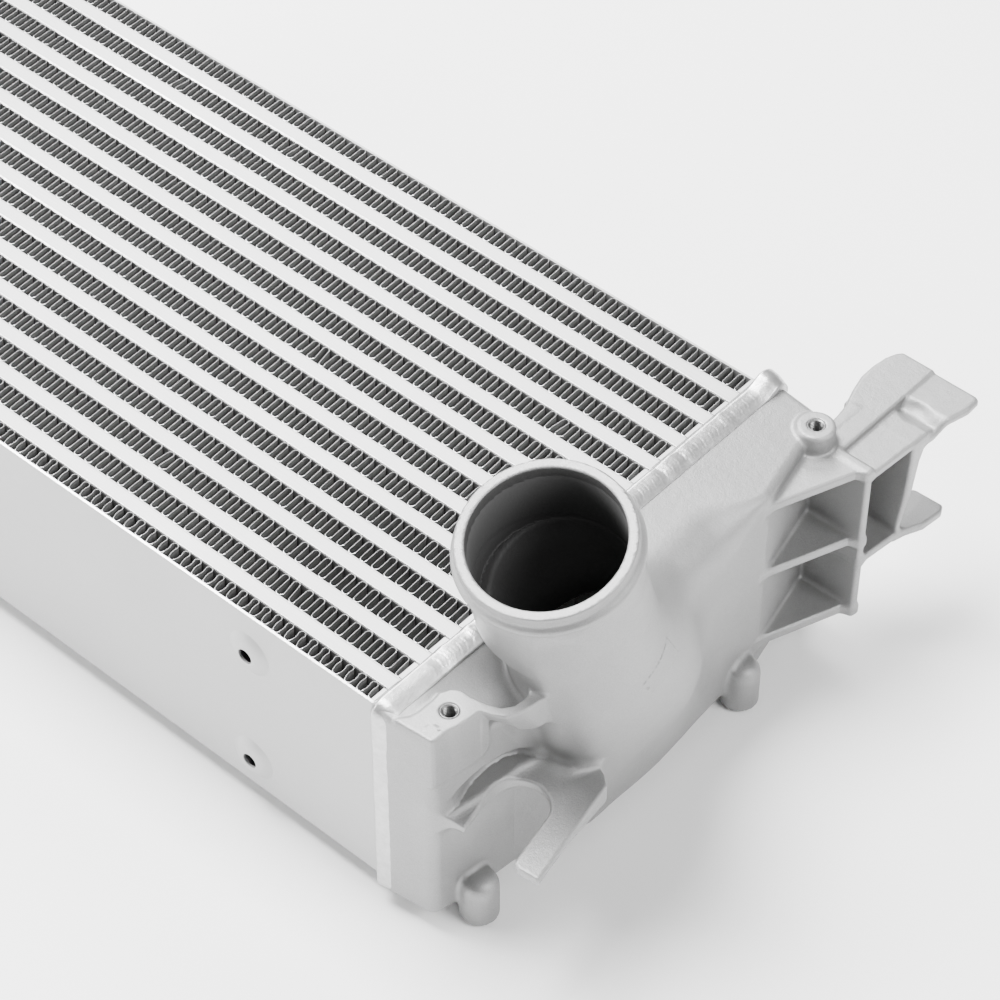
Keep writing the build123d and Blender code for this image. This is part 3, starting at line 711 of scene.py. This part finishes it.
def charge_tube(index):
    """Two face bars between two parting sheets; the sheet edges stand a hair proud."""
    y0 = FIRST_TUBE_Y + index * ROW_PITCH
    sink, bend = 0.22, 0.12
    front, back = BAR_FRONT, TUBE_HEIGHT - BAR_BACK
    top = [(front, -0.7), (front + 0.5, 0.0), (front + SHEET, 0.0), (front + SHEET + 0.15, -sink),
           (back - SHEET - 0.15, -sink), (back - SHEET, 0.0), (back - bend, 0.0), (back, -bend)]
    low = [(y, -CORE_DEPTH - z) for y, z in reversed(top)]
    ring = top + low
    count = len(ring)
    stations = np.linspace(-CORE_LENGTH - BAR_END, BAR_END, 67)
    sway = np.cumsum(rng.normal(0.0, 0.006, len(stations)))
    sway -= np.linspace(sway[0], sway[-1], len(stations))
    verts = [(x, y0 + y + s * (0 < k % 8 < 7), z)
             for x, s in zip(stations, sway) for k, (y, z) in enumerate(ring)]
    faces = []
    for i in range(len(stations) - 1):
        for k in range(count):
            a, b = i * count + k, i * count + (k + 1) % count
            faces.append((a, a + count, b + count, b))
    faces.append(tuple(reversed(range(count))))
    faces.append(tuple((len(stations) - 1) * count + k for k in range(count)))
    name = f"bar_{index + 1:02d}"
    obj = mesh_object(name, verts, faces, BAR, smooth=False,
                      replaces=(f"charge_tube_{index + 1:02d}",))
    obj.data.materials.append(BAR_EDGE)
    # the dark fin metal, painted shade on the bar sides
    obj.data.materials.append(FIN_PAINTED_SHADE)
    # around the ring: the sheet edges that catch the light, and the sides, given the dark fin metal as
    # painted shade of the fins
    bright, painted_shade_sides = (0, 1, 2, 9, 14), (7, 15)
    for poly in obj.data.polygons:
        k = poly.index % count
        if poly.index < (len(stations) - 1) * count:
            poly.material_index = 1 if k in bright else 2 if k in painted_shade_sides else 0


for index in range(TUBE_COUNT):
    charge_tube(index)


# Core: folded fins, the full count of rounded waves.
WAVE = 8.27
FIN_SHEET = 0.17
FIN_TOP, FIN_LOW = -0.2, -CORE_DEPTH + 0.6
FIRST_ROW_CRUSH = 0.55


def fin_line(low, high, crush):
    """The middle line of the sheet: legs joined by round turns, with small bends here and there."""
    waves = int((CORE_LENGTH - 3.0) // WAVE)
    start = 1.0 - waves * WAVE
    turn = WAVE / 4.0
    bottom, top = low + FIN_SHEET / 2, high - FIN_SHEET / 2
    middle = (low + high) / 2
    points = []
    for wave in range(waves):
        x = start + wave * WAVE + rng.normal(0.0, 0.10)
        lean = -0.75 + rng.normal(0.0, 0.12)
        if rng.random() < 0.012:
            lean += rng.choice((-1.0, 1.0)) * 2.0
        # back along one leg and round its turn, then forward along the next and round its turn
        for way, leg_x, turn_y in ((1, x, top - turn), (-1, x + 2 * turn, bottom + turn)):
            for k in range(4):
                share = k / 3.0 if way > 0 else 1.0 - k / 3.0
                y = bottom + turn + (top - bottom - 2 * turn) * share
                pinch = way * crush * math.sin(math.pi * share)
                points.append((leg_x + pinch + lean * ((y - middle) / (high - low)), y))
            for k in range(1, 6):
                a = math.pi * k / 6
                points.append((leg_x + turn - turn * math.cos(a) + way * lean * 0.35,
                               turn_y + way * turn * math.sin(a)))
    return np.array(points)


def fin_row(index):
    """One folded sheet, upright, from the top of the core to its underside."""
    low, high = row_limits(index)
    line = fin_line(low, high, FIRST_ROW_CRUSH if index == 0 else 0.0)
    ahead = np.gradient(line, axis=0)
    ahead /= np.linalg.norm(ahead, axis=1, keepdims=True)
    aside = np.stack([-ahead[:, 1], ahead[:, 0]], axis=1) * FIN_SHEET / 2
    top = FIN_TOP + rng.normal(0.0, 0.03, len(line))
    one, other = line + aside, line - aside
    count = len(line)
    foot = np.full(count, FIN_LOW)
    verts = np.concatenate([np.c_[one, top], np.c_[other, top], np.c_[other, foot], np.c_[one, foot]])
    faces = []
    step = np.arange(count - 1)
    for a, b in ((0, 1), (1, 2), (2, 3), (3, 0)):
        start, end = a * count + step, b * count + step
        faces.append(np.stack([start, end, end + 1, start + 1], axis=1))
    faces = np.concatenate(faces)
    ends = np.array([[0, 3 * count, 2 * count, count],
                     [count - 1, 2 * count - 1, 3 * count - 1, 4 * count - 1]])
    # the flanks take the fin metal with its painted shade
    obj = mesh_object(f"fin_row_{index + 1:02d}", verts, np.concatenate([faces, ends]), FIN_PAINTED_SHADE, smooth=False,
                      replaces=(f"ambient_fin_{index + 1:02d}",))
    obj.data.materials.append(FIN_EDGE)
    obj.data.materials.append(BAR_EDGE)
    # the upper edges: a painted highlight, the bright edge metal, where the front turns are, and the lighter
    # fin edge metal along the rest
    marks = np.zeros(len(obj.data.polygons), dtype=np.int32)
    marks[:count - 1] = np.where(line[:-1, 1] < low + WAVE / 4.5, 2, 1)
    obj.data.polygons.foreach_set("material_index", marks)


for index in range(TUBE_COUNT + 1):
    fin_row(index)


# Weld beads: a ring of overlapping puddles round each joint.
WELD_FROM_X, WELD_WIDTH, WELD_HEIGHT = 3.2, 15.8, 5.9
WELD_CORNER = 3.0
WELD_STATION = 0.62
PUDDLE = 4.9


def weld_path():
    """Stations along the joint: how far round, then Y and Z from its middle and the way out."""
    turn_y, turn_z = CORE_WIDTH / 2 - WELD_CORNER, CORE_DEPTH / 2 - WELD_CORNER
    path = []
    for cy, cz, a0 in ((turn_y, turn_z, 0.0), (-turn_y, turn_z, 90.0),
                       (-turn_y, -turn_z, 180.0), (turn_y, -turn_z, 270.0)):
        for k in range(10):
            a = math.radians(a0 + 90.0 * k / 9)
            out_y, out_z = math.cos(a), math.sin(a)
            path.append((cy + WELD_CORNER * out_y, cz + WELD_CORNER * out_z, out_y, out_z))
    path = np.array(path + path[:1])
    lengths = np.r_[0.0, np.cumsum(np.hypot(*np.diff(path[:, :2], axis=0).T))]
    stations = np.arange(0.0, lengths[-1], WELD_STATION)
    place = np.stack([np.interp(stations, lengths, path[:, c]) for c in range(4)], axis=1)
    place[:, 2:] /= np.linalg.norm(place[:, 2:], axis=1, keepdims=True)
    return stations, lengths[-1], place


def weld_bead(name, node, flip):
    """A strip of ripples across the joint, swept all the way round the core."""
    middle_y, middle_z = CORE_WIDTH / 2, -CORE_DEPTH / 2
    stations, all_round, place = weld_path()
    # puddle edges: nearly even steps with a little change
    edges = [0.0]
    while edges[-1] < all_round + 20.0:
        edges.append(edges[-1] + PUDDLE + rng.normal(0.0, 0.5))
    edges = np.array(edges)
    lift = np.interp(stations, edges, rng.normal(0.0, 0.22, len(edges)))
    wander = np.interp(stations, edges, rng.normal(0.0, 0.35, len(edges)))
    y_path = middle_y + place[:, 0]
    z_path = middle_z + place[:, 1]
    # strong ripples along the top, ground smooth near the front corner and down the upright runs
    on_top = ease(y_path, 22.0, 40.0) * (1.0 - 0.75 * ease(y_path, 286.0, 300.0))
    strength = np.where(z_path > -3.5, on_top, 0.12)
    end_lump = np.exp(-((y_path - 304.0) / 8.0) ** 2) * ease(z_path, -9.0, -2.0) * 5.0
    across = np.linspace(0.0, 1.0, 23)
    s, u = np.meshgrid(stations, across, indexing="ij")
    bow = 6.4 * (1.0 - (2.0 * u - 1.0) ** 2)
    where = s + bow
    slot = np.clip(np.searchsorted(edges, where, side="right") - 1, 0, len(edges) - 2)
    share = (where - edges[slot]) / (edges[slot + 1] - edges[slot])
    ripple = 0.46 * (share - 0.5 + 0.35 * np.cos(math.pi * share)) * 2.0 * strength[:, None]
    crown = np.clip(u / 0.2, 0.0, 1.0) ** 0.6 * (1.0 - 0.12 * ease(u, 0.5, 1.0))
    fade = np.clip((1.0 - u) / 0.3, 0.0, 1.0)
    calm = 0.15 + 0.85 * strength[:, None]
    puddles = (lift[:, None] * calm + ripple) * fade
    height = crown * (WELD_HEIGHT - 2.4 * u ** 1.6 + puddles + end_lump[:, None]) - 0.2 * (1 - crown)
    height = np.where(u >= 0.999, -1.0, height)
    x = WELD_FROM_X + wander[:, None] * calm * (1 - u) * 0.4 + WELD_WIDTH * np.minimum(u, 0.98) / 0.98
    x = 2 * HALF_WAY - x if flip else x
    y = middle_y + place[:, None, 0] + place[:, None, 2] * height
    z = middle_z + place[:, None, 1] + place[:, None, 3] * height
    verts = np.stack([np.broadcast_to(x, s.shape), y, z], axis=-1).reshape(-1, 3)
    a = np.arange(s.size).reshape(s.shape)
    b = np.roll(a, -1, axis=1)
    c = np.roll(b, -1, axis=0)
    d = np.roll(a, -1, axis=0)
    faces = np.stack([a, d, c, b], axis=-1).reshape(-1, 4)
    if flip:
        faces = faces[:, ::-1]
    mesh_object(name, verts, faces, WELD, replaces=(node,))


weld_bead("weld_bead_right", "weld_right", False)
weld_bead("weld_bead_left", "weld_left", True)


# Front side plate with its two raised dimples, each in a square of its own.
DIMPLES = [(-85.2, -29.6), (-88.0, -116.6)]
DIMPLE_RISE, DIMPLE_CROWN, DIMPLE_SLOPE = 3.3, 5.3, 8.9
DIMPLE_RINGS = np.array([4.6, 4.65, 4.9, 5.3, 5.8, 6.4, 7.2, 8.1, 9.0, 10.0, 11.0, 12.0, 12.9, 13.7,
                         14.2, 14.6])
DIMPLE_OUT = DIMPLE_RISE * (1.0 - np.clip((DIMPLE_RINGS - DIMPLE_CROWN) / DIMPLE_SLOPE, 0.0, 1.0) ** 1.7)
DIMPLE_OUT[0] -= 0.15
SQUARE_HALF = 18.0
RING_POINTS = 64
RING_ANGLES = 2 * math.pi * (np.arange(RING_POINTS) + 0.5) / RING_POINTS


def on_ring(middle, radius, y):
    """A ring of points round the middle of a dimple."""
    return [(middle[0] + radius * math.cos(a), y, middle[1] + radius * math.sin(a)) for a in RING_ANGLES]


def on_square(middle, a, y):
    """Where a line at an angle from the middle of a dimple meets the square round it."""
    reach = SQUARE_HALF / max(abs(math.cos(a)), abs(math.sin(a)))
    return middle[0] + reach * math.cos(a), y, middle[1] + reach * math.sin(a)


def dimple(middle, depth):
    """One side of a dimple, from its hole out to its square, as points and faces."""
    points = []
    for radius, out in zip(DIMPLE_RINGS, DIMPLE_OUT):
        points += on_ring(middle, radius, depth - out)
    points += [on_square(middle, a, depth) for a in RING_ANGLES]
    quads = []
    for r in range(len(DIMPLE_RINGS)):
        for k in range(RING_POINTS):
            a, b = r * RING_POINTS + k, r * RING_POINTS + (k + 1) % RING_POINTS
            quads.append((a, b, b + RING_POINTS, a + RING_POINTS))
    return points, quads


def square_corner(middle, way_x, way_z, depth):
    """The triangle between a corner of the square and the two ring lines that end nearest to it."""
    there = [a for a in RING_ANGLES if math.cos(a) * way_x > 0 and math.sin(a) * way_z > 0]
    near = sorted(there, key=lambda a: abs(abs(math.tan(a)) - 1.0))[:2]
    corner = (middle[0] + way_x * SQUARE_HALF, depth, middle[1] + way_z * SQUARE_HALF)
    return [corner] + [on_square(middle, a, depth) for a in near]


def side_plate():
    """The plate's two faces with their dimples, the walls of the holes and the rim."""
    low_corner, high_corner = (np.array(c) * 1000.0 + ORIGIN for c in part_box("side_plate_front"))
    x0, x1, z0, z1 = low_corner[0], high_corner[0], low_corner[2], high_corner[2]
    between = (DIMPLES[0][1] + DIMPLES[1][1]) / 2
    verts, faces = [], []

    def patch(points, quads):
        base = len(verts)
        verts.extend(points)
        faces.extend(tuple(base + k for k in quad) for quad in quads)

    for depth, turn in ((0.0, 1), (PLATE, -1)):
        for middle in DIMPLES:
            points, quads = dimple(middle, depth)
            patch(points, [quad[::turn] for quad in quads])
        # the flat of the plate beside, below and above each square
        for (cx, cz), (az, bz) in zip(DIMPLES, ((between, z1), (z0, between))):
            left, right = cx - SQUARE_HALF, cx + SQUARE_HALF
            for p, q, low, high in ((x0, left, az, bz), (right, x1, az, bz),
                                    (left, right, az, cz - SQUARE_HALF), (left, right, cz + SQUARE_HALF, bz)):
                patch([(p, depth, low), (q, depth, low), (q, depth, high), (p, depth, high)],
                      [(0, 1, 2, 3)[::turn]])
        for middle in DIMPLES:
            for way_x, way_z in ((-1, -1), (-1, 1), (1, -1), (1, 1)):
                patch(square_corner(middle, way_x, way_z, depth), [(0, 1, 2)])
    for middle in DIMPLES:
        hole, out = DIMPLE_RINGS[0], DIMPLE_OUT[0]
        points = on_ring(middle, hole, 0.0 - out) + on_ring(middle, hole, PLATE - out)
        patch(points, [(k, k + RING_POINTS, (k + 1) % RING_POINTS + RING_POINTS, (k + 1) % RING_POINTS)
                       for k in range(RING_POINTS)])
    rim = [(x0, z0), (x1, z0), (x1, z1), (x0, z1)]
    for (ax, az), (bx, bz) in zip(rim, rim[1:] + rim[:1]):
        patch([(ax, 0.0, az), (ax, PLATE, az), (bx, PLATE, bz), (bx, 0.0, bz)], [(0, 1, 2, 3)])
    obj = mesh_object("plate_front", verts, faces, PLATE_METAL,
                      replaces=("side_plate_front",))
    mesh = obj.data
    mesh.materials.append(BAR_EDGE)
    for poly in mesh.polygons[-len(rim):]:
        poly.material_index = 1
    mesh.set_sharp_from_angle(angle=math.radians(35.0))


side_plate()


# Thread inserts with their thread.
def thread_insert(name, spot, top, flip):
    """A ring below the rim of the hole and a screw thread down the bore."""
    x0 = 2 * HALF_WAY - spot[0] if flip else spot[0]
    turns, pitch, length = 40, 1.25, 13.0
    crest, thread_depth = 3.42, 0.62
    profile = [(4.9, -length), (4.9, -0.55), (4.75, -0.45), (4.45, -0.45), (4.1, -0.95)]
    levels = np.arange(-1.0, -length, -pitch / 8)
    verts, faces = [], []
    for k in range(turns):
        a = 2 * math.pi * k / turns
        for r, z in profile:
            verts.append((x0 + r * math.cos(a), spot[1] + r * math.sin(a), top + z))
        for z in levels:
            wave = abs(((z / pitch + k / turns) % 1.0) - 0.5) * 2.0
            r = crest + thread_depth * min(1.0, wave * 1.15)
            verts.append((x0 + r * math.cos(a), spot[1] + r * math.sin(a), top + z))
    count = len(profile) + len(levels)
    for k in range(turns):
        for i in range(count):
            a, b = k * count + i, ((k + 1) % turns) * count + i
            c, d = ((k + 1) % turns) * count + (i + 1) % count, k * count + (i + 1) % count
            faces.append((a, b, c, d))
    mesh_object(name, verts, faces, STEEL,
                replaces=("thread_inserts_left" if flip else "thread_inserts_right",))


for flip, side in ((False, "right"), (True, "left")):
    thread_insert(f"insert_pad_{side}", PAD_HOLE, PAD_TOP, flip)
    thread_insert(f"insert_boss_{side}", BOSS_HOLE, BOSS_TOP, flip)


# The two tanks as skins.
STEP = 1.3
FAR_STEP = 2.6
CUT_Y = 130.0
SKIN_LOW, SKIN_HIGH, FAR_SKIN_HIGH = (-7.0, -8.0, -154.5), (111.0, 390.0, 101.0), (98.0, 316.0, 101.0)


def inside_of(points):
    """Which of the points lie on the air way or in the tapped holes, where the inside gets its painted shade.
    """
    x, y, z = points.T
    across, along = pipe_place(x, y, z)
    in_painted_shade = (across < BORE + 1.2) & (along < -8.0) & (along > -58.0)
    in_painted_shade |= air_room(x, y, z) < 1.0
    for spot, top in ((PAD_HOLE, PAD_TOP), (BOSS_HOLE, BOSS_TOP)):
        in_painted_shade |= (away(x, y, spot) < 5.3) & (z < top - 2.0) & (z > -16.0)
    return in_painted_shade


def tank_skin(name, node, whole, step, cut_y):
    """The skin of one tank, in two pieces when it is cut, so that no piece has too many triangles."""
    high = SKIN_HIGH if whole else FAR_SKIN_HIGH
    verts, faces, normals = skin(lambda x, y, z: tank(x, y, z, whole), SKIN_LOW, high, step)
    in_painted_shade = inside_of(verts[faces].mean(axis=1))
    if not whole:
        verts[:, 0] = 2 * HALF_WAY - verts[:, 0]
        normals[:, 0] *= -1
        faces = faces[:, ::-1]
    middle = verts[faces].mean(axis=1)
    zones = [np.ones(len(faces), dtype=bool)]
    if cut_y:
        zones = [middle[:, 1] < cut_y, middle[:, 1] >= cut_y]
    for k, zone in enumerate(zones):
        used = np.unique(faces[zone])
        number = np.zeros(len(verts), dtype=np.int64)
        number[used] = np.arange(len(used))
        obj = mesh_object(f"{name}_{k + 1}" if cut_y else name, verts[used], number[faces[zone]],
                          CAST if whole else CAST_FAR, normals=normals[used],
                          replaces=(node,))
        # the air way and the tapped holes take the inside metal, painted shade
        obj.data.materials.append(INSIDE_PAINTED_SHADE if whole else INSIDE_FAR_PAINTED_SHADE)
        obj.data.polygons.foreach_set("material_index", in_painted_shade[zone].astype(np.int32))


tank_skin("tank_right", "end_tank_right", True, STEP, CUT_Y)
tank_skin("tank_left", "end_tank_left", False, FAR_STEP, None)


# Camera: the photo's viewpoint, found from the straight lines of the core.
VIEWPOINT = [750.67, -756.58, 1268.72]
camera_data = bpy.data.cameras.new("camera")
camera = bpy.data.objects.new("camera", camera_data)
bpy.context.scene.collection.objects.link(camera)
bpy.context.scene.camera = camera
camera_data.sensor_width = 36.0
camera_data.lens = 120.2
camera_data.clip_start, camera_data.clip_end = 0.1, 50.0
right = Vector((0.74905, 0.66251, 0.00296))
forward = Vector((-0.45383, 0.51634, -0.72624)).normalized()
right = (right - forward * right.dot(forward)).normalized()
up = right.cross(forward)
turned = Matrix((right, up, -forward)).transposed().to_4x4()
camera.matrix_world = Matrix.Translation(Vector(row(VIEWPOINT))) @ turned

# Studio: pale floor, white surround, four soft lights.
world = bpy.data.worlds.new("world")
bpy.context.scene.world = world
world.use_nodes = True
world.node_tree.nodes["Background"].inputs["Color"].default_value = (1, 1, 1, 1)
world.node_tree.nodes["Background"].inputs["Strength"].default_value = 0.3


def soft_light(name, place, target, size, power):
    """A soft box at a place, turned to its target."""
    data = bpy.data.lights.new(name, "AREA")
    data.shape = "RECTANGLE"
    data.size, data.size_y = size
    data.energy = power
    lamp = bpy.data.objects.new(name, data)
    bpy.context.scene.collection.objects.link(lamp)
    lamp.location = place
    lamp.rotation_mode = "QUATERNION"
    lamp.rotation_quaternion = (Vector(target) - Vector(place)).to_track_quat("-Z", "Y")


soft_light("key", (-0.7, -0.1, 2.4), (0.1, -0.05, 0.0), (1.4, 1.4), 250.0)
soft_light("back", (-1.5, 1.6, 2.1), (0.1, 0.0, 0.0), (1.2, 1.0), 90.0)
soft_light("fill", (-2.2, -1.8, 1.3), (0.1, 0.0, 0.1), (1.2, 1.0), 110.0)
soft_light("side", (2.1, 0.3, 1.6), (0.2, 0.0, 0.1), (1.2, 0.9), 60.0)

floor_mesh = bpy.data.meshes.new("floor")
floor_corners = [(x, y, -0.001) for x, y in ((-6, -6), (6, -6), (6, 6), (-6, 6))]
floor_mesh.from_pydata(floor_corners, [], [(0, 1, 2, 3)])
floor = bpy.data.objects.new("floor", floor_mesh)
bpy.context.scene.collection.objects.link(floor)
paper = Nodes("paper")
paper.put(paper.shader, "Base Color", (0.97, 0.97, 0.97, 1.0))
paper.put(paper.shader, "Roughness", 0.9)
floor_mesh.materials.append(paper.material)

bpy.context.view_layer.update()
